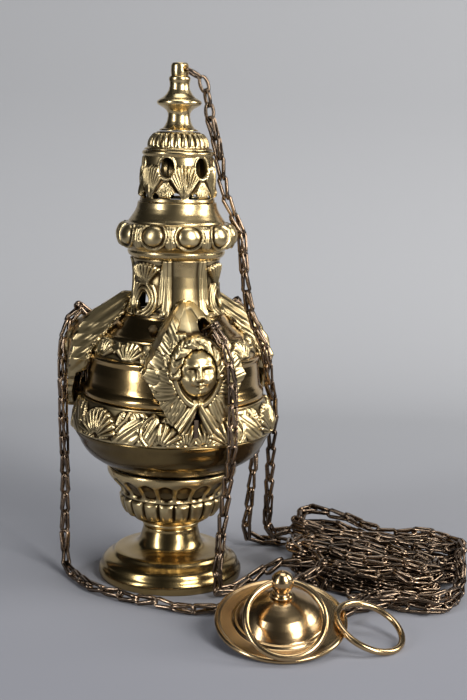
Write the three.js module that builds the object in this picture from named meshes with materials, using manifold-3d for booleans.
// A brass censer with four chains, its lid and fire pan, and the hand disc that the chains end at.
// Millimetres, +Z up. The origin is the middle of the foot's underside.
import * as THREE from 'three';
import { mergeVertices } from 'three/addons/utils/BufferGeometryUtils.js';
import Module from 'manifold-3d';

const wasm = await Module();
wasm.setup();

// Fits and walls
const FIT = 0.32; // clearance between pieces that touch
const WALL = 1.5; // cast and spun walls
const FACETS = 24; // sides of a turned piece

// Foot
const FOOT_R = 37.6;
const FOOT_RIM_H = 4;
const FOOT_STEP_R = 29.4;
const FOOT_STEP_H = 14;
const FOOT_H = 27.3;
const STEM_R = 14.4;
const PLATE_H = 1.2;

// Ring, cup and bowl
const RING_R = 15;
const RING_H = 2.8;
const CUP_H = 28.3;
const CUP_WAIST_R = 25.9;
const CUP_TOP_R = 33.5;
const CUP_LOBES = 18;
const CUP_LOBE_DEPTH = 0.9;
const CUP_PANELS = 9;
const CUP_PANEL_DEPTH = 0.7;
const BOWL_H = 37.7;
const BOWL_R = 51.5;
const BOWL_SEAM_R = 50.4;
const BOWL_RIM_R = 46.6;
const BOWL_FLOOR_H = 2;

// Bolt through bowl, cup, ring and foot
const BOLT_R = 3.5;
const BOLT_HEAD_R = 8;
const BOLT_HEAD_H = 2.6;
const NUT_R = 7;
const NUT_H = 4;
const WASHER_R = 9;
const WASHER_H = 1.2;
const WEB_H = 2.4;

// Lid
const DOME_H = 42;
const LIP_R = 46.5;
const BAND_R = 44.2;
const BAND_H = 13;
const SHOULDER_R = 34.8;
const NECK_BASE_R = 25.4;
const SKIRT_H = 3.6;
const NECK_H = 28.2;
const NECK_R = 21.2;
const NECK_WALL = 1.8;
const NECK_FACETS = 18;
const LEAF_HOLE_W = 7;
const LEAF_HOLE_H = 9.4;
const PANEL_HALF = 9.5;
const TORUS_H = 27.7;
const TORUS_R = 29.3;
const TORUS_EGGS = 9;
const TORUS_EGG_DEPTH = 0.9;
const LANTERN_H = 25.2;
const LANTERN_BASE_R = 19;
const LANTERN_TOP_R = 17.4;
const LANTERN_HOLES = 6;
const LANTERN_FACETS = 12;
const LANTERN_HOLE_W = 7.8;
const LANTERN_HOLE_H = 10.2;
const WINDOW_TURN = 30;
const ARCH_W = 4.2;
const ARCH_H = 4.4;
const ARCH_TURN = 14; // degrees each side of the leaf between two windows
const CAP_H = 9.2;
const CAP_R = 15.2;

// Finial
const FINIAL_H = 26.9;
const FINIAL_BASE_R = 9.8;
const FINIAL_FLANGE_R = 11.2;
const EYE_R = 4.5;
const EYE_H = 6.8;
const EYE_HOLE_R = 1.7;
const EYE_TURN = 30;
const STUD_R = 2.6;
const STUD_NUT_R = 5.4;
const STUD_NUT_H = 3;
const STUD_WASHER_R = 6.4;

// Masks, their rivets and the bowl's chain lugs
const MASK_TURNS = { mask_front: 0, mask_left: 240, mask_right: 120 };
const MASK_WALL = 1.6;
const MASK_FACE_UP = 20.6; // above the lid's rim, as the mask's other heights are
const MASK_FACE_W = 10.5;
const MASK_FACE_H = 13;
const MASK_FACE_DEPTH = 2.6;
const MASK_HOLE_S = 5.5;
const MASK_HOLE_UP = 41.2;
const MASK_HOLE_R = 3.9;
const MASK_HOLE_OUT = 44;
const MASK_ACROSS = 6; // panels across a mask
const MASK_LEAN = 0.1; // how far the sides lean in, as a share of their depth
// Height over the lid's rim, half width, how far the middle stands off the lid's band, curve across,
// and depth of the sides
const MASK_ROWS = [
  [-9.4, 11, 10.5, 0.01, 2],
  [-0.4, 17, 10.7, 0.011, 2],
  [10.6, 22, 10.8, 0.012, 4],
  [14.6, 24, 11, 0.012, 14],
  [18.6, 25.5, 11.2, 0.012, 18],
  [27.6, 21, 10.4, 0.015, 26],
  [34.6, 17, 6.8, 0.018, 28],
  [38.6, 14.4, 3.4, 0.02, 24],
  [42.6, 11, -1.6, 0.024, 20],
  [51.6, 3.4, -15.2, 0.04, 9],
];
const NOTCH_UP = 3.6;
const NOTCH_W = 3.4;
const RIVET_R = 1.2;
const RIVET_HOLE_R = 1.6;
const RIVET_HEAD_R = 2.4;
const RIVET_HEAD_H = 1.1;
const RIVET_LENGTH = 4.6;
const RIVET_TURN = 33; // degrees each side of the mask
const EAR_R = 4;
const EAR_H = 1.2;
const LUG_W = 5;
const LUG_T = 2;
const LUG_H = 9;
const LUG_HOLE_R = 1;
const LUG_AT = 50.2;
const LUG_HOLE_AT = 51;
const LUG_DROP = 11.56; // from the bowl's rim down to the lug's foot
const LUG_HOLE_DROP = 2;

// Fire pan
const PAN_R = CUP_TOP_R + 4.1;
const PAN_TOP_R = BOWL_RIM_R - 8.1;
const PAN_H = 20;
const PAN_WALL = 1.2;

// Hand disc and its rings: the disc lies tilted against the chains
const DISC_AT = new THREE.Vector3(30.7, -101.8, 10);
const DISC_TILT = 16.4;
const DISC_TURN = -106.6; // azimuth that the disc faces
const DISC_R = 30.9;
const DISC_BEAD_R = 1.2;
const DISC_T = 1.2;
const DISC_DOME_R = 21;
const DISC_DOME_H = 13.4;
const KNOB_R = 5.4;
const KNOB_AT = 21.5; // height of the knob's hole over the disc
const KNOB_STUD_R = 2;
const KNOB_FOOT_R = 4.6;
const KNOB_WAIST_R = 3.2;
const KNOB_NUT_R = 4;
const KNOB_NUT_H = 2.4;
const HAND_RING_R = 18;
const HAND_RING_WIRE = 1.6;
const HAND_RING_DROP = 31; // degrees below the disc's plane
const HAND_RING_TURN = 7;
const DISC_EYE_TURNS = { disc_eye_back: 180, disc_eye_left: 300, disc_eye_right: 60 };
const DISC_EYE_AT = 13;
const DISC_EYE_R = 2.6;
const DISC_EYE_WIRE = 0.8;
const DISC_EYE_Z = 1.4;
const DISC_EYE_POST_R = 0.9;
const DISC_EYE_TOP = 6.9;
const PULL_RING_AT = new THREE.Vector3(69.9, -114, 8.3);
const PULL_RING_TILT = 25.3;
const PULL_RING_TURN = -57.1;
const PULL_RING_R = 16.2;
const PULL_RING_WIRE = 1.3;

// Chains: outer size of the links and the piles that the chains lie in
const CHAIN_R = 2.5;
const PILE_TURN = -39; // degrees
const PILE_STEPS = 18; // points in each loop
const PILE_LAYER = 5.7;
const PILE_PITCH = 5.9;
const PILE_SIDES = 6;
const TABLE_GAP = 0.1;
const FRONT_PILE = { middle: [100, 23.5], length: 88, width: 31, turns: 3, hand: 1 };
const BACK_PILE = { middle: [95, 57], length: 100, width: 31, turns: 7 / 3, hand: -1 };
const GAP_STEP = 1; // between the points that the gap between turns is measured on
const GAP_SKIP = 16; // neighbours along the chain that are left out

const rad = THREE.MathUtils.degToRad;
const brass = (color, roughness) => new THREE.MeshStandardMaterial({ color, roughness, metalness: 1 });
const polished = brass(0xc9a85a, 0.22);
const antique = brass(0x9c8148, 0.35);
const dark = brass(0x5a4a2c, 0.4);
const oxidised = brass(0x4a3b2e, 0.5);

const censer = new THREE.Group();

function addMesh(parent, name, geometry, material) {
  const mesh = new THREE.Mesh(geometry, material);
  mesh.name = name;
  parent.add(mesh);
  return mesh;
}

// Solids from geometries and back
function solid(geometry) {
  const bare = geometry.clone();
  bare.deleteAttribute('normal');
  bare.deleteAttribute('uv');
  const merged = mergeVertices(bare, 1e-4);
  return new wasm.Manifold(
    new wasm.Mesh({
      numProp: 3,
      vertProperties: new Float32Array(merged.attributes.position.array),
      triVerts: new Uint32Array(merged.index.array),
    }),
  );
}

function geometryOf(manifold) {
  const mesh = manifold.getMesh();
  const geometry = new THREE.BufferGeometry();
  geometry.setAttribute('position', new THREE.BufferAttribute(mesh.vertProperties, 3));
  geometry.setIndex(new THREE.BufferAttribute(mesh.triVerts, 1));
  geometry.computeVertexNormals();
  return geometry;
}

// A profile of [radius, height] points turned about Z: up the outside, then back down the inside or the axis.
// swell(angle, height, radius) moves the points of the outside in or out.
function turned(profile, facets = FACETS, swell = null) {
  const points = profile.map(([r, z]) => new THREE.Vector2(r, z));
  const first = points[0];
  if (first.x > 0) points.push(first.clone());
  const geometry = new THREE.LatheGeometry(points, facets);
  geometry.rotateX(Math.PI / 2);
  if (swell) {
    const at = geometry.attributes.position;
    for (let i = 0; i < at.count; i += 1) {
      const radius = Math.hypot(at.getX(i), at.getY(i));
      const angle = Math.atan2(at.getY(i), at.getX(i));
      const grow = radius > 0 ? 1 + swell(angle, at.getZ(i), radius) / radius : 1;
      at.setXY(i, at.getX(i) * grow, at.getY(i) * grow);
    }
  }
  return geometry;
}

function disc(radius, low, high, facets = FACETS) {
  return turned([[0, low], [radius, low], [radius, high], [0, high]], facets);
}

function washer(radius, hole, low, high, facets = FACETS) {
  return turned([[radius, low], [radius, high], [hole, high], [hole, low]], facets);
}

function nut(radius, hole, low, high) {
  return geometryOf(solid(disc(radius, low, high, 6)).subtract(solid(disc(hole, low - 1, high + 1))));
}

// A bell-shaped step from 0 at both ends of a stretch of heights to 1 in its middle
function between(height, low, high) {
  const share = (height - low) / (high - low);
  return share <= 0 || share >= 1 ? 0 : Math.sin(Math.PI * share);
}

// Heights of the seats, each from the piece below
const ringZ = FOOT_H + FIT;
const cupZ = ringZ + RING_H + FIT;
const bowlZ = cupZ + CUP_H + FIT;
const domeZ = bowlZ + BOWL_H + FIT;
const neckZ = domeZ + DOME_H + FIT;
const torusZ = neckZ + NECK_H + FIT;
const lanternZ = torusZ + TORUS_H + FIT;
const capZ = lanternZ + LANTERN_H + FIT;
const finialZ = capZ + CAP_H + FIT;
const eyeZ = finialZ + FINIAL_H;
const boltHole = BOLT_R + FIT;

// Foot, its closing plate and the ring above it
const footOutside = [
  [FOOT_R - 0.8, 0],
  [FOOT_R, FOOT_RIM_H],
  [FOOT_STEP_R + 3.4, FOOT_STEP_H - 3],
  [FOOT_STEP_R, FOOT_STEP_H],
  [STEM_R + 7.6, FOOT_STEP_H + 1],
  [STEM_R + 2.8, FOOT_STEP_H + 3],
  [STEM_R + 1, FOOT_STEP_H + 7],
  [STEM_R, FOOT_H],
];
const footInside = [
  [boltHole, FOOT_H],
  [boltHole, FOOT_H - WEB_H],
  [STEM_R - WALL, FOOT_H - WEB_H],
  [STEM_R + 2.4, FOOT_STEP_H - 0.6],
  [FOOT_STEP_R - 0.6, FOOT_STEP_H - 2.4],
  [FOOT_R - WALL - 1.2, FOOT_RIM_H],
  [FOOT_R - WALL - 0.8, 0],
];
addMesh(censer, 'foot', turned([...footOutside, ...footInside]), polished);
addMesh(censer, 'foot_plate', disc(FOOT_R - WALL - 1.4, 0, PLATE_H), dark);
const ring = [
  [STEM_R, ringZ],
  [RING_R, ringZ + RING_H * 0.3],
  [RING_R, ringZ + RING_H * 0.7],
  [STEM_R, ringZ + RING_H],
  [boltHole, ringZ + RING_H],
  [boltHole, ringZ],
];
addMesh(censer, 'stem_ring', turned(ring), antique);

// Cup under the bowl: lobes below, dished panels above
const cupOutside = [
  [STEM_R + 2.5, 0],
  [CUP_WAIST_R - 3.7, 3.9],
  [CUP_WAIST_R - 0.8, 8.3],
  [CUP_WAIST_R, 14],
  [CUP_WAIST_R + 1.7, 17.9],
  [CUP_TOP_R - 1.6, 22.1],
  [CUP_TOP_R, 26.3],
  [CUP_TOP_R, CUP_H],
];
const cupInside = [
  [CUP_TOP_R - 2, CUP_H],
  [CUP_WAIST_R + 2, 19.5],
  [CUP_WAIST_R - 2.4, 14],
  [CUP_WAIST_R - 4.6, 7],
  [STEM_R + 2, WEB_H],
  [boltHole, WEB_H],
  [boltHole, 0],
];
const cupProfile = [...cupOutside, ...cupInside].map(([r, z]) => [r, cupZ + z]);
const cupSkin = STEM_R + 4;
function cupSwell(angle, height, radius) {
  const inner = cupInside.some(([r, z]) => Math.abs(r - radius) < 0.01 && Math.abs(cupZ + z - height) < 0.01);
  if (inner || radius < cupSkin) return 0;
  const lobes = Math.cos(CUP_LOBES * angle) * between(height, cupZ, cupZ + CUP_H * 0.45);
  const panels = Math.cos(CUP_PANELS * angle) * between(height, cupZ + CUP_H * 0.45, cupZ + CUP_H * 0.92);
  return lobes * CUP_LOBE_DEPTH - (1 + panels) * 0.5 * CUP_PANEL_DEPTH;
}
addMesh(censer, 'cup', turned(cupProfile, CUP_LOBES * 2, cupSwell), antique);

// Bowl, with its plain belly and the shoulder under the lid
const bowlOutside = [
  [CUP_TOP_R - 2, 0],
  [CUP_TOP_R + 4.8, 4.1],
  [BOWL_SEAM_R - 6.3, 8.2],
  [BOWL_SEAM_R - 3.1, 12.4],
  [BOWL_SEAM_R, BOWL_H - 19],
  [BOWL_R - 0.4, BOWL_H - 16.9],
  [BOWL_R, BOWL_H - 14],
  [BOWL_R - 1.5, BOWL_H - 8.3],
  [BOWL_RIM_R + 1.9, BOWL_H - 4],
  [BOWL_RIM_R, BOWL_H],
];
const bowlInside = [
  [BOWL_RIM_R - WALL, BOWL_H],
  [BOWL_R - 1.5 - WALL, BOWL_H - 8.5],
  [BOWL_R - 0.2 - WALL, BOWL_H - 14],
  [BOWL_SEAM_R - 4.6, 12.7],
  [CUP_TOP_R + 8.4, 8.3],
  [CUP_TOP_R + 2.5, 4.3],
  [CUP_TOP_R - 2.5, BOWL_FLOOR_H],
  [boltHole, BOWL_FLOOR_H],
  [boltHole, 0],
];
addMesh(censer, 'bowl', turned([...bowlOutside, ...bowlInside].map(([r, z]) => [r, bowlZ + z])), antique);

// Bolt, washer and nut that hold bowl, cup, ring and foot together
const boltTop = bowlZ + BOWL_FLOOR_H + FIT;
const webLow = FOOT_H - WEB_H;
const washerLow = webLow - FIT - WASHER_H;
const nutLow = washerLow - FIT - NUT_H;
const bolt = [
  [0, nutLow - 1],
  [BOLT_R, nutLow - 1],
  [BOLT_R, boltTop],
  [BOLT_HEAD_R, boltTop],
  [BOLT_HEAD_R - 1, boltTop + BOLT_HEAD_H],
  [0, boltTop + BOLT_HEAD_H],
];
addMesh(censer, 'bowl_bolt', turned(bolt, 16), dark);
addMesh(censer, 'bowl_washer', washer(WASHER_R, boltHole, washerLow, washerLow + WASHER_H, 16), dark);
addMesh(censer, 'bowl_nut', nut(NUT_R, boltHole, nutLow, nutLow + NUT_H), dark);

// Fire pan that stands on the bowl's curved wall
const panZ = boltTop + BOLT_HEAD_H + 1;
const pan = [
  [0, panZ],
  [PAN_R, panZ],
  [PAN_TOP_R, panZ + PAN_H],
  [PAN_TOP_R - PAN_WALL, panZ + PAN_H],
  [PAN_R - PAN_WALL, panZ + PAN_WALL],
  [0, panZ + PAN_WALL],
];
addMesh(censer, 'fire_pan', turned(pan), dark);

// Lid's dome: lip, plain band, embossed slope, plain ring
const domeOutside = [
  [LIP_R - 0.6, 0],
  [LIP_R, 1.7],
  [LIP_R - 0.4, 4.3],
  [BAND_R + 0.2, 7.7],
  [BAND_R - 0.8, 5.7 + BAND_H],
  [BAND_R - 0.3, 6.7 + BAND_H],
  [BAND_R - 1.9, 8.9 + BAND_H],
  [BAND_R - 3.4, DOME_H - 17.3],
  [SHOULDER_R + 3.2, DOME_H - 13.8],
  [SHOULDER_R + 0.2, DOME_H - 11.5],
  [SHOULDER_R - 1.2, DOME_H - 9.5],
  [SHOULDER_R - 3.8, DOME_H - 7.3],
  [NECK_BASE_R + 2.4, DOME_H - 3.4],
  [NECK_BASE_R, DOME_H],
];
const domeInside = [
  [NECK_BASE_R - 2.4, DOME_H],
  [SHOULDER_R - 5.4, DOME_H - 8],
  [SHOULDER_R - 1.6, DOME_H - 12.4],
  [BAND_R - 5, DOME_H - 18],
  [BAND_R - 2.6, 6.4 + BAND_H],
  [BAND_R - 1.4, 7.7],
  [BAND_R - 1.2, -SKIRT_H],
  [BAND_R + 0.4, -SKIRT_H],
  [BAND_R + 0.4, 0],
];

// A geometry that stands along +Z, moved to a point with its +Z turned to a direction
function aimed(geometry, at, direction) {
  const start = new THREE.Vector3(0, 0, 1);
  const turn = new THREE.Quaternion().setFromUnitVectors(start, direction.clone().normalize());
  return geometry.applyQuaternion(turn).translate(at.x, at.y, at.z);
}

// The masks' rivets stand square on the plain ring at the top of the dome
const rivetLow = [SHOULDER_R - 3.8, DOME_H - 7.3];
const rivetHigh = [NECK_BASE_R + 2.4, DOME_H - 3.4];
const rivetR = (rivetLow[0] + rivetHigh[0]) / 2;
const rivetZ = domeZ + (rivetLow[1] + rivetHigh[1]) / 2;
const rivetOut = rivetHigh[1] - rivetLow[1];
const rivetUp = rivetLow[0] - rivetHigh[0];
function rivetSeat(turn) {
  const azimuth = rad(turn - 90);
  const out = new THREE.Vector3(Math.cos(azimuth), Math.sin(azimuth), 0);
  const at = out.clone().multiplyScalar(rivetR).setZ(rivetZ);
  const direction = out.clone().multiplyScalar(rivetOut).setZ(rivetUp).normalize();
  return { at, direction };
}
const rivetTurns = Object.values(MASK_TURNS).flatMap((turn) => [turn - RIVET_TURN, turn + RIVET_TURN]);
function rod(radius, low, high, facets = 12) {
  return turned([[0, low], [radius, low], [radius, high], [0, high]], facets);
}
function dome() {
  let body = solid(turned([...domeOutside, ...domeInside].map(([r, z]) => [r, domeZ + z])));
  for (const turn of rivetTurns) {
    const { at, direction } = rivetSeat(turn);
    body = body.subtract(solid(aimed(rod(RIVET_HOLE_R, -8, 8, 6), at, direction)));
  }
  return body;
}
addMesh(censer, 'dome', geometryOf(dome()), antique);

// Openwork neck between dome and torus
const neckOutside = [
  [NECK_BASE_R - 0.4, neckZ],
  [NECK_R + 1.8, neckZ + 3.4],
  [NECK_R + 0.6, neckZ + 8.4],
  [NECK_R, neckZ + 20.4],
  [NECK_R + 1.4, neckZ + NECK_H],
];
const neckInside = neckOutside.map(([r, z]) => [r - NECK_WALL, z]).reverse();

// A cutter that runs outwards from the axis, with the given outline across (s) and up (z)
function radialCutter(outline, turn, reach) {
  const shape = new THREE.Shape(outline.map(([s, z]) => new THREE.Vector2(s, z)));
  const prism = new THREE.ExtrudeGeometry(shape, { depth: reach, bevelEnabled: false });
  prism.rotateX(Math.PI / 2);
  prism.rotateZ(rad(turn));
  return solid(prism);
}

function oval(width, height, z, points = 8) {
  const outline = [];
  for (let i = 0; i < points; i += 1) {
    const angle = (2 * Math.PI * i) / points;
    outline.push([(width / 2) * Math.cos(angle), z + (height / 2) * Math.sin(angle)]);
  }
  return outline;
}

function neck() {
  let body = solid(turned([...neckOutside, ...neckInside], NECK_FACETS));
  const low = neckZ + 1.8;
  const high = neckZ + NECK_H - 1.6;
  for (const turn of [60, 180, 300]) {
    const leafHole = oval(LEAF_HOLE_W, LEAF_HOLE_H, neckZ + 7.6);
    body = body.subtract(radialCutter(leafHole, turn, NECK_BASE_R + 4));
    for (const side of [-1, 1]) {
      const lower = [[4.2, low], [PANEL_HALF, low], [PANEL_HALF, low + 5.5]];
      const upper = [[3, high], [PANEL_HALF, high], [PANEL_HALF, high - 9]];
      for (const corner of [lower, upper]) {
        const outline = corner.map(([s, z]) => [side * s, z]);
        if (side < 0) outline.reverse();
        body = body.subtract(radialCutter(outline, turn, NECK_BASE_R + 4));
      }
    }
  }
  return body;
}
addMesh(censer, 'neck', geometryOf(neck()), antique);

// Torus with its egg bosses and the bevelled ring over it
const torusOutside = [
  [NECK_R + 1.6, 0],
  [TORUS_R - 5.1, 1.2],
  [TORUS_R - 3.7, 4.7],
  [TORUS_R - 1, 6.7],
  [TORUS_R, 9.2],
  [TORUS_R - 1.1, 15.2],
  [TORUS_R - 2.8, 17.2],
  [TORUS_R - 5, 18],
  [LANTERN_BASE_R + 1.6, 24.7],
  [LANTERN_BASE_R + 0.8, TORUS_H],
];
const torusInside = [
  [LANTERN_BASE_R - 0.8, TORUS_H],
  [LANTERN_BASE_R + 0.2, 24],
  [TORUS_R - 7.4, 18],
  [TORUS_R - 3.6, 14.6],
  [TORUS_R - 2.4, 11.4],
  [TORUS_R - 5.4, 6.4],
  [NECK_R - 0.2, 0],
];
const torusProfile = [...torusOutside, ...torusInside].map(([r, z]) => [r, torusZ + z]);
function torusSwell(angle, height, radius) {
  if (radius < TORUS_R - 2) return 0;
  return -0.5 * (1 - Math.cos(TORUS_EGGS * angle)) * TORUS_EGG_DEPTH * between(height, torusZ + 4, torusZ + 18);
}
addMesh(censer, 'torus_band', turned(torusProfile, TORUS_EGGS * 3, torusSwell), antique);

// Lantern with oval windows and small arches along its foot
const lanternOutside = [
  [LANTERN_BASE_R, 0],
  [LANTERN_TOP_R, LANTERN_H - 2.5],
  [LANTERN_TOP_R, LANTERN_H],
];
function lantern() {
  const inside = lanternOutside.map(([r, z]) => [r - WALL, z]).reverse();
  let body = solid(turned([...lanternOutside, ...inside].map(([r, z]) => [r, lanternZ + z]), LANTERN_FACETS));
  const step = 360 / LANTERN_HOLES;
  for (let i = 0; i < LANTERN_HOLES; i += 1) {
    const window = oval(LANTERN_HOLE_W, LANTERN_HOLE_H, lanternZ + LANTERN_H * 0.6);
    body = body.subtract(radialCutter(window, i * step + WINDOW_TURN, LANTERN_BASE_R + 4));
    for (const side of [-1, 1]) {
      const turn = (i + 0.5) * step + WINDOW_TURN + side * ARCH_TURN;
      const arch = oval(ARCH_W, ARCH_H, lanternZ + ARCH_H * 0.5 + 1, 5);
      body = body.subtract(radialCutter(arch, turn, LANTERN_BASE_R + 4));
    }
  }
  return body;
}
addMesh(censer, 'lantern', geometryOf(lantern()), antique);

// Cap over the lantern
const capProfile = [
  [LANTERN_TOP_R - 0.2, 0],
  [CAP_R, 2.2],
  [CAP_R - 1.6, 6.2],
  [CAP_R - 4.2, CAP_H],
  [STUD_R + FIT, CAP_H],
  [STUD_R + FIT, CAP_H - WEB_H],
  [CAP_R - 5.4, CAP_H - WEB_H],
  [CAP_R - 2.6, 3.6],
  [LANTERN_TOP_R - 2.4, 0],
].map(([r, z]) => [r, capZ + z]);
addMesh(censer, 'cap', turned(capProfile), antique);

// Finial with its eye, and the nut and washer inside the cap
const studWasherTop = finialZ - FIT - WEB_H - FIT;
const studNutTop = studWasherTop - WASHER_H - FIT;
const finialProfile = [
  [0, studNutTop - STUD_NUT_H - 0.8],
  [STUD_R, studNutTop - STUD_NUT_H - 0.8],
  [STUD_R, finialZ],
  [FINIAL_BASE_R, finialZ],
  [FINIAL_BASE_R - 2.3, finialZ + 2.2],
  [FINIAL_BASE_R - 4.3, finialZ + 7.2],
  [FINIAL_FLANGE_R, finialZ + 13.9],
  [FINIAL_FLANGE_R - 2.9, finialZ + 17.9],
  [EYE_R + 0.8, finialZ + 20],
  [EYE_R + 0.3, finialZ + 22.7],
  [EYE_R + 0.9, finialZ + 25.7],
  [EYE_R + 0.4, eyeZ],
  [0, eyeZ],
];
function finial() {
  const body = solid(turned(finialProfile, 16));
  const top = eyeZ + EYE_H;
  const blockProfile = [[0, eyeZ - 1], [EYE_R, eyeZ - 1], [EYE_R, top - 2.4], [EYE_R - 1.8, top], [0, top]];
  const block = turned(blockProfile, 8);
  const hole = new THREE.CylinderGeometry(EYE_HOLE_R, EYE_HOLE_R, 4 * EYE_R, 12);
  hole.rotateZ(Math.PI / 2);
  hole.rotateZ(rad(EYE_TURN));
  hole.translate(0, 0, eyeZ + EYE_H * 0.55);
  return body.add(solid(block)).subtract(solid(hole));
}
addMesh(censer, 'finial', geometryOf(finial()), polished);
const studWasher = washer(STUD_WASHER_R, STUD_R + FIT, studWasherTop - WASHER_H, studWasherTop, 16);
addMesh(censer, 'finial_washer', studWasher, dark);
addMesh(censer, 'finial_nut', nut(STUD_NUT_R, STUD_R + FIT, studNutTop - STUD_NUT_H, studNutTop), dark);

// What the masks stand off from: the dome and the neck with the clearance around them
const core = 1.6 * FIT;
const lidCore = solid(
  turned([
    [0, domeZ - 1],
    [LIP_R + core, domeZ - 1],
    [LIP_R + core, domeZ + 5],
    [BAND_R + core, domeZ + 8.6],
    [BAND_R + core, domeZ + 8.6 + BAND_H],
    [SHOULDER_R + core + 0.3, domeZ + DOME_H - 10.6],
    [NECK_BASE_R + core, domeZ + DOME_H - 0.2],
    [NECK_R + core + 0.8, neckZ + 8.4],
    [NECK_R + core + 0.2, neckZ + 16],
    [0, neckZ + 16],
  ]),
);

// A sheet with thickness: two grids of points with the same rows and columns, joined round their rims
function thickSheet(front, back) {
  const rows = front.length;
  const columns = front[0].length;
  const positions = [...front.flat(), ...back.flat()].flat();
  const at = (side, row, column) => side * rows * columns + row * columns + column;
  const index = [];
  const quad = (a, b, c, d) => index.push(a, b, c, a, c, d);
  for (let r = 0; r + 1 < rows; r += 1) {
    for (let c = 0; c + 1 < columns; c += 1) {
      quad(at(0, r, c), at(0, r, c + 1), at(0, r + 1, c + 1), at(0, r + 1, c));
      quad(at(1, r, c), at(1, r + 1, c), at(1, r + 1, c + 1), at(1, r, c + 1));
    }
    quad(at(1, r, 0), at(0, r, 0), at(0, r + 1, 0), at(1, r + 1, 0));
    quad(at(0, r, columns - 1), at(1, r, columns - 1), at(1, r + 1, columns - 1), at(0, r + 1, columns - 1));
  }
  for (let c = 0; c + 1 < columns; c += 1) {
    quad(at(1, 0, c), at(1, 0, c + 1), at(0, 0, c + 1), at(0, 0, c));
    quad(at(0, rows - 1, c), at(0, rows - 1, c + 1), at(1, rows - 1, c + 1), at(1, rows - 1, c));
  }
  const geometry = new THREE.BufferGeometry();
  geometry.setAttribute('position', new THREE.BufferAttribute(new Float32Array(positions), 3));
  geometry.setIndex(index);
  return geometry;
}

function faceBulge(s, z) {
  const across = s / MASK_FACE_W;
  const up = (z - domeZ - MASK_FACE_UP) / MASK_FACE_H;
  return MASK_FACE_DEPTH * Math.max(0, 1 - across * across - up * up);
}

// One mask: a shell over the chain's way up, open at its foot, with two ears for its rivets
function mask() {
  const front = [];
  const back = [];
  for (const [up, halfWidth, standOff, curve, depth] of MASK_ROWS) {
    const z = domeZ + up;
    const outside = (s) => BAND_R + standOff - curve * s * s + faceBulge(s, z);
    const rim = outside(halfWidth) - depth;
    const foot = halfWidth - MASK_LEAN * depth;
    const frontRow = [[-foot, -rim, z]];
    const backRow = [[-foot + MASK_WALL, -rim, z]];
    for (let i = 0; i <= MASK_ACROSS; i += 1) {
      const share = (2 * i) / MASK_ACROSS - 1;
      const s = halfWidth * share;
      const inner = (halfWidth - MASK_WALL) * share;
      frontRow.push([s, -outside(s), z]);
      backRow.push([inner, -(outside(inner) - MASK_WALL), z]);
    }
    frontRow.push([foot, -rim, z]);
    backRow.push([foot - MASK_WALL, -rim, z]);
    front.push(frontRow);
    back.push(backRow);
  }
  let body = solid(thickSheet(front, back));
  for (const side of [-1, 1]) {
    const { at, direction } = rivetSeat(side * RIVET_TURN);
    const ear = rod(EAR_R, -1, FIT + EAR_H, 8);
    body = body.add(solid(aimed(ear, at, direction)));
  }
  body = body.subtract(lidCore);
  for (const side of [-1, 1]) {
    const { at, direction } = rivetSeat(side * RIVET_TURN);
    body = body.subtract(solid(aimed(rod(RIVET_HOLE_R, -2, 4, 6), at, direction)));
  }
  const notchLow = domeZ + MASK_ROWS[0][0] - 2;
  const notch = [[-NOTCH_W, notchLow], [NOTCH_W, notchLow], [0, domeZ + NOTCH_UP]];
  body = body.subtract(radialCutter(notch, 0, BAND_R + 26));
  const chainHole = aimed(
    rod(MASK_HOLE_R, -4, 8, 8),
    new THREE.Vector3(MASK_HOLE_S, -MASK_HOLE_OUT, domeZ + MASK_HOLE_UP),
    new THREE.Vector3(0.3, -0.85, 0.45),
  );
  return body.subtract(solid(chainHole));
}

// Masks, rivets and lugs are made facing -Y and turned to their places round the axis
const maskGeometry = geometryOf(mask());
const rivetSeatH = FIT + EAR_H + FIT;
const rivetProfile = [
  [0, rivetSeatH - RIVET_LENGTH],
  [RIVET_R, rivetSeatH - RIVET_LENGTH],
  [RIVET_R, rivetSeatH],
  [RIVET_HEAD_R, rivetSeatH],
  [RIVET_HEAD_R * 0.75, rivetSeatH + RIVET_HEAD_H * 0.7],
  [0, rivetSeatH + RIVET_HEAD_H],
];
function lug() {
  const lugLow = bowlZ + BOWL_H - LUG_DROP;
  const plate = new THREE.BoxGeometry(LUG_T, LUG_W, LUG_H);
  plate.translate(0, -LUG_AT, lugLow + LUG_H / 2);
  const hole = new THREE.CylinderGeometry(LUG_HOLE_R, LUG_HOLE_R, 4 * LUG_T, 12);
  hole.rotateZ(Math.PI / 2).translate(0, -LUG_HOLE_AT, lugLow + LUG_H - LUG_HOLE_DROP);
  const bowlCore = [[0, bowlZ], ...bowlOutside.map(([r, z]) => [r + FIT, bowlZ + z]), [0, bowlZ + BOWL_H]];
  return solid(plate).subtract(solid(turned(bowlCore))).subtract(solid(hole));
}
const lugGeometry = geometryOf(lug());
for (const [name, turn] of Object.entries(MASK_TURNS)) {
  const place = new THREE.Group();
  place.rotation.z = rad(turn);
  censer.add(place);
  addMesh(place, name, maskGeometry.clone(), antique);
  addMesh(place, name.replace('mask', 'chain_lug'), lugGeometry.clone(), dark);
  for (const [i, side] of [-1, 1].entries()) {
    const { at, direction } = rivetSeat(side * RIVET_TURN);
    addMesh(place, `${name}_rivet_${i + 1}`, aimed(turned(rivetProfile, 6), at, direction), polished);
  }
}

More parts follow.
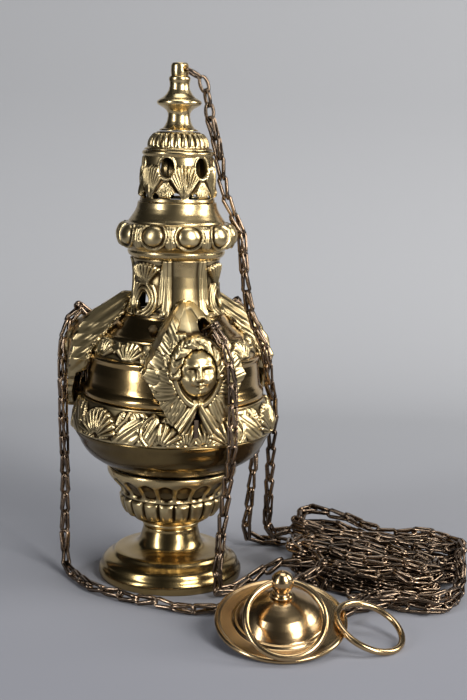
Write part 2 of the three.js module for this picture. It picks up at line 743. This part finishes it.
// Hand disc and what it carries, made flat round +Z and then tilted
const handGroup = new THREE.Group();
handGroup.position.copy(DISC_AT);
handGroup.rotation.order = 'ZYX';
handGroup.rotation.z = rad(DISC_TURN);
handGroup.rotation.y = rad(DISC_TILT);
censer.add(handGroup);
const discTop = DISC_T / 2;
const beadTop = 0.9 * DISC_BEAD_R;
const knobHole = KNOB_STUD_R + FIT;
const discUnder = [
  [knobHole, DISC_DOME_H - DISC_T],
  [12, DISC_DOME_H - DISC_T - 3.2],
  [DISC_DOME_R - 4.6, 5.4],
  [DISC_DOME_R - 0.9, -discTop],
  [DISC_R - 1.8, -beadTop],
  [DISC_R - 0.6, -beadTop],
];
const discOver = [
  [DISC_R, 0],
  [DISC_R - 0.6, beadTop],
  [DISC_R - 1.8, beadTop],
  [DISC_DOME_R + 0.4, discTop],
  [DISC_DOME_R - 3.6, 6.6],
  [12.6, DISC_DOME_H - 3],
  [6.2, DISC_DOME_H - 0.6],
  [knobHole, DISC_DOME_H],
];
addMesh(handGroup, 'hand_disc', turned([...discUnder, ...discOver]), polished);

// Knob with the cross hole for the hand ring, its stud through the disc and the nut below
const knobSeat = DISC_DOME_H + FIT;
const knobNutTop = DISC_DOME_H - DISC_T - 0.8 - FIT;
const ringHoleR = HAND_RING_WIRE + FIT + HAND_RING_R - Math.sqrt(HAND_RING_R ** 2 - KNOB_R ** 2);
function knob() {
  const stem = [
    [0, knobNutTop - KNOB_NUT_H - 0.6],
    [KNOB_STUD_R, knobNutTop - KNOB_NUT_H - 0.6],
    [KNOB_STUD_R, knobSeat],
    [KNOB_FOOT_R, knobSeat],
    [KNOB_FOOT_R + 0.2, knobSeat + 1],
    [KNOB_WAIST_R + 0.2, knobSeat + 2.2],
    [KNOB_WAIST_R, KNOB_AT - 3],
    [0, KNOB_AT - 3],
  ];
  const ball = new THREE.SphereGeometry(KNOB_R, 12, 8);
  ball.rotateX(Math.PI / 2).translate(0, 0, KNOB_AT);
  const hole = new THREE.CylinderGeometry(ringHoleR, ringHoleR, 4 * KNOB_R, 12);
  hole.rotateZ(rad(HAND_RING_TURN)).translate(0, 0, KNOB_AT);
  return solid(turned(stem, 12)).add(solid(ball)).subtract(solid(hole));
}
addMesh(handGroup, 'knob', geometryOf(knob()), polished);
addMesh(handGroup, 'knob_nut', nut(KNOB_NUT_R, knobHole, knobNutTop - KNOB_NUT_H, knobNutTop), dark);

// Hand ring: it turns in the knob's hole and lies over the front of the disc
const handRing = new THREE.TorusGeometry(HAND_RING_R, HAND_RING_WIRE, 7, 24);
handRing.translate(HAND_RING_R, 0, 0);
handRing.rotateY(rad(HAND_RING_DROP));
handRing.rotateZ(rad(HAND_RING_TURN)).translate(0, 0, KNOB_AT);
addMesh(handGroup, 'hand_ring', handRing, polished);

// Three eyes inside the disc's dome, which the chains end at
for (const [name, turn] of Object.entries(DISC_EYE_TURNS)) {
  const loop = new THREE.TorusGeometry(DISC_EYE_R, DISC_EYE_WIRE, 5, 8);
  loop.rotateX(Math.PI / 2).translate(DISC_EYE_AT, 0, DISC_EYE_Z);
  const post = rod(DISC_EYE_POST_R, DISC_EYE_Z + DISC_EYE_R, DISC_EYE_TOP, 6).translate(DISC_EYE_AT, 0, 0);
  const eye = geometryOf(solid(loop).add(solid(post)));
  eye.rotateZ(rad(turn));
  addMesh(handGroup, name, eye, dark);
}

// Pull ring: it leans over the disc's rim with its far side on the table
const pullGroup = new THREE.Group();
pullGroup.position.copy(PULL_RING_AT);
pullGroup.rotation.order = 'ZYX';
pullGroup.rotation.z = rad(PULL_RING_TURN);
pullGroup.rotation.y = rad(PULL_RING_TILT);
censer.add(pullGroup);
addMesh(pullGroup, 'pull_ring', new THREE.TorusGeometry(PULL_RING_R, PULL_RING_WIRE, 7, 24), polished);

// Chains. Each has a fall on the lid, a drop from there over the table to its pile, the pile, and an end at the
// hand disc. A plain stretch is a tube through points chosen by hand.
const section = new THREE.Shape(
  oval(2 * CHAIN_R, 2 * CHAIN_R, 0, 8).map(([x, y]) => new THREE.Vector2(x, y)),
);
function addTube(name, points, steps) {
  const path = new THREE.CatmullRomCurve3(points, false, 'centripetal');
  const geometry = new THREE.ExtrudeGeometry(section, { steps, extrudePath: path, bevelEnabled: false });
  addMesh(censer, name, geometry, oxidised);
}

// Points in the part's frame, in a mask's frame (across, out, up) and in the frame of the piles
const inFrame = ([x, y, z]) => new THREE.Vector3(x, y, z);
const fromMask = (turn) => ([s, out, z]) => new THREE.Vector3(s, -out, z).applyAxisAngle(upward, rad(turn));
const upward = new THREE.Vector3(0, 0, 1);
const heapAlong = new THREE.Vector3(Math.cos(rad(PILE_TURN)), Math.sin(rad(PILE_TURN)), 0);
const heapAcross = new THREE.Vector3(-heapAlong.y, heapAlong.x, 0);
function inHeap([along, across, z]) {
  return heapAlong.clone().multiplyScalar(along).addScaledVector(heapAcross, across).setZ(z);
}

// Up through a mask from its lug, out of its hole and down over its face
const upMask = [
  [0, 50.4, 95.5], [0.8, 49.7, 108], [2.4, 49, 120], [4, 47, 128], [4.8, 43.4, 133.5], [5.2, 41.8, 136.4],
];
const FALLS = {
  chain_a_fall: [
    fromMask(MASK_TURNS.mask_front),
    [...upMask, [6.2, 44.5, 139.4], [8, 48.6, 139.2], [11, 52, 135.5], [14, 54.6, 127], [16.4, 55.2, 115],
      [17.4, 55.2, 101], [17.6, 55.2, 93], [17.6, 55.2, 84.4]],
    15,
  ],
  chain_b_fall: [
    fromMask(MASK_TURNS.mask_left),
    [...upMask, [6, 44.5, 139.4], [6.6, 48.8, 140], [7.6, 53.4, 137], [10, 56.4, 128], [12.6, 56.6, 117],
      [14.7, 55.7, 106], [14.9, 55.2, 93], [14.9, 55.2, 84.4]],
    15,
  ],
  chain_c_fall: [
    fromMask(MASK_TURNS.mask_right),
    [...upMask, [5.6, 44.5, 139.4], [5.2, 48.8, 140.2], [4.2, 53, 138], [2, 58.4, 130.5], [0.4, 61.2, 119],
      [0, 62, 104], [0, 62.2, 93], [0, 62.3, 84.4]],
    15,
  ],
  chain_d_fall: [
    inFrame,
    [[5.4, -2.4, 262.2], [8, -2.3, 261.8], [11.8, -2, 256], [14.6, -2, 246], [15.4, -2, 238], [19.8, -2.3, 224],
      [23, -2.7, 205], [26.5, -3, 193], [33, -3.5, 182], [34.6, -4, 164], [37, -5, 147], [40, -5.5, 135],
      [47, -6, 121], [49.4, -5, 108], [51, -3, 98], [54, 0, 92], [54.9, 1, 84.4]],
    20,
  ],
};
for (const [name, [place, points, steps]] of Object.entries(FALLS)) addTube(name, points.map(place), steps);

// Down past the bowl, and over the table to the chain's pile
const heapPoints = (points) => points.map(inHeap);
const DROPS = {
  chain_a_drop: [
    [
      ...[[17.6, 55.2, 83.9], [17.6, 54.9, 80], [18.3, 50.8, 73], [18.3, 46.8, 65], [18, 43, 50]].map(
        fromMask(MASK_TURNS.mask_front),
      ),
      ...[[17, -41.6, 38], [16.4, -41.8, 27], [15.4, -42.4, 15], [14.6, -43.4, 7]].map(inFrame),
      ...heapPoints([[38.4, -24, 2.6], [45, -15, 4], [52, -2, 8.7]]),
      ...heapPoints([[60, 7, 13.2], [66, 10.5, 14], [71, 10.5, 14]]),
    ],
    13,
  ],
  chain_b_drop: [
    [
      ...[[14.9, 55.2, 83.9], [14.9, 55.1, 80], [14.6, 54.6, 70], [14.4, 54, 49], [14.3, 54, 27]].map(
        fromMask(MASK_TURNS.mask_left),
      ),
      ...[[14.3, 54.3, 12]].map(fromMask(MASK_TURNS.mask_left)),
      ...[[-53.8, 8, 3.6], [-51.6, -2, 2.6], [-47.5, -17, 2.6], [-40, -30, 2.6], [-31, -40, 2.6]].map(inFrame),
      ...[[-20, -49.5, 2.6], [-7, -59, 2.6], [5, -66, 2.6]].map(inFrame),
      ...heapPoints([[51, -34, 2.6], [55, -12, 2.6], [59, 4, 2.6], [66, 10.4, 2.6], [71, 10.5, 2.6]]),
    ],
    21,
  ],
  chain_c_drop: [
    [
      ...[[54, 31, 83.9], [54, 31, 62], [52.5, 30.3, 40], [50.4, 29.4, 20], [50.6, 32, 8.5]].map(inFrame),
      ...heapPoints([[20, 64, 2.6], [34, 69, 2.6], [50, 70, 2.6], [60, 70, 2.6]]),
    ],
    11,
  ],
  chain_d_drop: [
    [
      ...[[54.9, 1.1, 83.9], [55, 1.7, 80], [55.4, 4.4, 73], [56.2, 8, 60], [57.6, 14, 40]].map(inFrame),
      ...[[59.4, 20, 22]].map(inFrame),
      ...heapPoints([[31, 58, 10.5], [38, 64, 9.8], [46, 69, 12.4], [54, 70, 14], [60, 70, 14]]),
    ],
    12,
  ],
};
for (const [name, [points, steps]] of Object.entries(DROPS)) addTube(name, points, steps);

// Piles: each chain spirals in on one layer, climbs in the half turn where it reverses, and spirals out above.
// A loop is two straight sides and two round ends. hand is 1 for a pile that runs counter-clockwise.
const PILES = {
  chain_a_pile: { ...FRONT_PILE, layer: 2 },
  chain_b_pile: { ...FRONT_PILE, layer: 0 },
  chain_c_pile: { ...BACK_PILE, layer: 0 },
  chain_d_pile: { ...BACK_PILE, layer: 2 },
};
function pilePoints({ middle, length, width, turns, hand, layer }) {
  const straight = (length - width) / 2;
  const side = PILE_STEPS / 6;
  const arc = PILE_STEPS / 3;
  const count = Math.round(turns * PILE_STEPS);
  const points = [];
  for (let i = 0; i <= count; i += 1) {
    const turn = i / PILE_STEPS;
    const radius = width / 2 - CHAIN_R - PILE_PITCH * Math.min(turn, turns - turn);
    const climb = THREE.MathUtils.clamp((turn - turns / 2) * 2 + 0.5, 0, 1);
    const step = i % PILE_STEPS;
    const far = step > side + arc;
    const onArc = far ? step - 2 * side - arc : step - side;
    const angle = (Math.PI * Math.max(0, onArc)) / arc - Math.PI / 2 + (far ? Math.PI : 0);
    const onSide = far ? step - side - arc : step;
    const shift = -straight + (2 * straight * Math.min(onSide, side)) / side;
    const along = (far ? -shift : shift) + radius * Math.cos(angle);
    const z = CHAIN_R + TABLE_GAP + PILE_LAYER * (layer + climb);
    points.push(inHeap([middle[0] + along, middle[1] + hand * radius * Math.sin(angle), z]));
  }
  const leaving = turns % 1 === 0 ? inHeap([1, 0, 0]) : inHeap([0, hand, 0]);
  points.push(points[count].clone().addScaledVector(leaving, 2 * CHAIN_R));
  return points;
}

// One unbroken tube of six sides through a list of points that lie nearly level
function levelTube(points) {
  const positions = [];
  const index = [];
  points.forEach((point, i) => {
    const before = points[Math.max(0, i - 1)];
    const after = points[Math.min(points.length - 1, i + 1)];
    const heading = after.clone().sub(before).normalize();
    const across = heading.clone().cross(upward).normalize();
    const up = across.clone().cross(heading);
    for (let k = 0; k < PILE_SIDES; k += 1) {
      const angle = (2 * Math.PI * k) / PILE_SIDES;
      const at = point.clone();
      at.addScaledVector(across, CHAIN_R * Math.cos(angle)).addScaledVector(up, CHAIN_R * Math.sin(angle));
      positions.push(at.x, at.y, at.z);
    }
  });
  const last = points.length - 1;
  for (let i = 0; i < last; i += 1) {
    for (let k = 0; k < PILE_SIDES; k += 1) {
      const a = i * PILE_SIDES + k;
      const b = i * PILE_SIDES + ((k + 1) % PILE_SIDES);
      index.push(a, b + PILE_SIDES, b, a, a + PILE_SIDES, b + PILE_SIDES);
    }
  }
  for (let k = 1; k + 1 < PILE_SIDES; k += 1) {
    index.push(0, k, k + 1);
    index.push(last * PILE_SIDES, last * PILE_SIDES + k + 1, last * PILE_SIDES + k);
  }
  const geometry = new THREE.BufferGeometry();
  geometry.setAttribute('position', new THREE.BufferAttribute(new Float32Array(positions), 3));
  geometry.setIndex(index);
  return geometry;
}

// The least gap between turns of a pile, on points 1 mm apart, leaving out neighbours along the chain
function leastGap(points) {
  const fine = [];
  for (let i = 0; i + 1 < points.length; i += 1) {
    const count = Math.max(1, Math.round(points[i].distanceTo(points[i + 1]) / GAP_STEP));
    for (let k = 0; k < count; k += 1) fine.push(points[i].clone().lerp(points[i + 1], k / count));
  }
  let least = Infinity;
  for (let i = 0; i < fine.length; i += 1) {
    for (let j = i + GAP_SKIP; j < fine.length; j += 1) least = Math.min(least, fine[i].distanceTo(fine[j]));
  }
  return least - 2 * CHAIN_R;
}
for (const [name, pile] of Object.entries(PILES)) {
  const points = pilePoints(pile);
  console.log(`${name}: least gap ${leastGap(points).toFixed(2)} mm`);
  addMesh(censer, name, levelTube(points), oxidised);
}

// From the piles to the disc's eyes, and for the last chain to the pull ring
const ENDS = {
  chain_a_end: [
    [[77, 10.5, 19.7], [80, 10.4, 19.6], [84.5, 5, 17.6], [84, -4, 15.6], [80, -14, 14.3], [78, -24, 14.2],
      [80, -36, 13.2], [81, -41, 12.5]],
    6,
  ],
  chain_b_end: [
    [[77, 10.5, 8.3], [80, 10.4, 8.3], [85, 5.5, 7.2], [86.5, -2, 4.6], [85, -12, 2.7], [80, -25, 4],
      [74, -45, 5], [75, -58, 5.2], [77.4, -66.5, 5.4]],
    8,
  ],
  chain_c_end: [
    [[142.5, 51.5, 8.3], [142.6, 48.5, 8.2], [146.5, 41, 6], [148.5, 33, 3.2], [148.5, 23.5, 2.6],
      [146, 9, 2.6], [139, 3.5, 2.6], [130, 3, 2.6], [116, 0, 2.6], [108, -12, 2.6], [104, -30, 3], [102, -50, 4.5],
      [102.8, -55.5, 5.2]],
    13,
  ],
  chain_d_end: [
    [[142.5, 51.5, 19.7], [142.6, 48.5, 19.5], [147, 40, 14.5], [149, 32, 9.5], [148.5, 23.5, 8.3],
      [146, 9, 8.3], [139, 3.5, 8.3], [130, 3, 8.3], [119, 1, 8.3], [114, -9, 9], [112, -20, 11], [111.8, -28, 13],
      [111.8, -32.6, 14.4]],
    11,
  ],
};
for (const [name, [points, steps]] of Object.entries(ENDS)) addTube(name, heapPoints(points), steps);

export default censer;
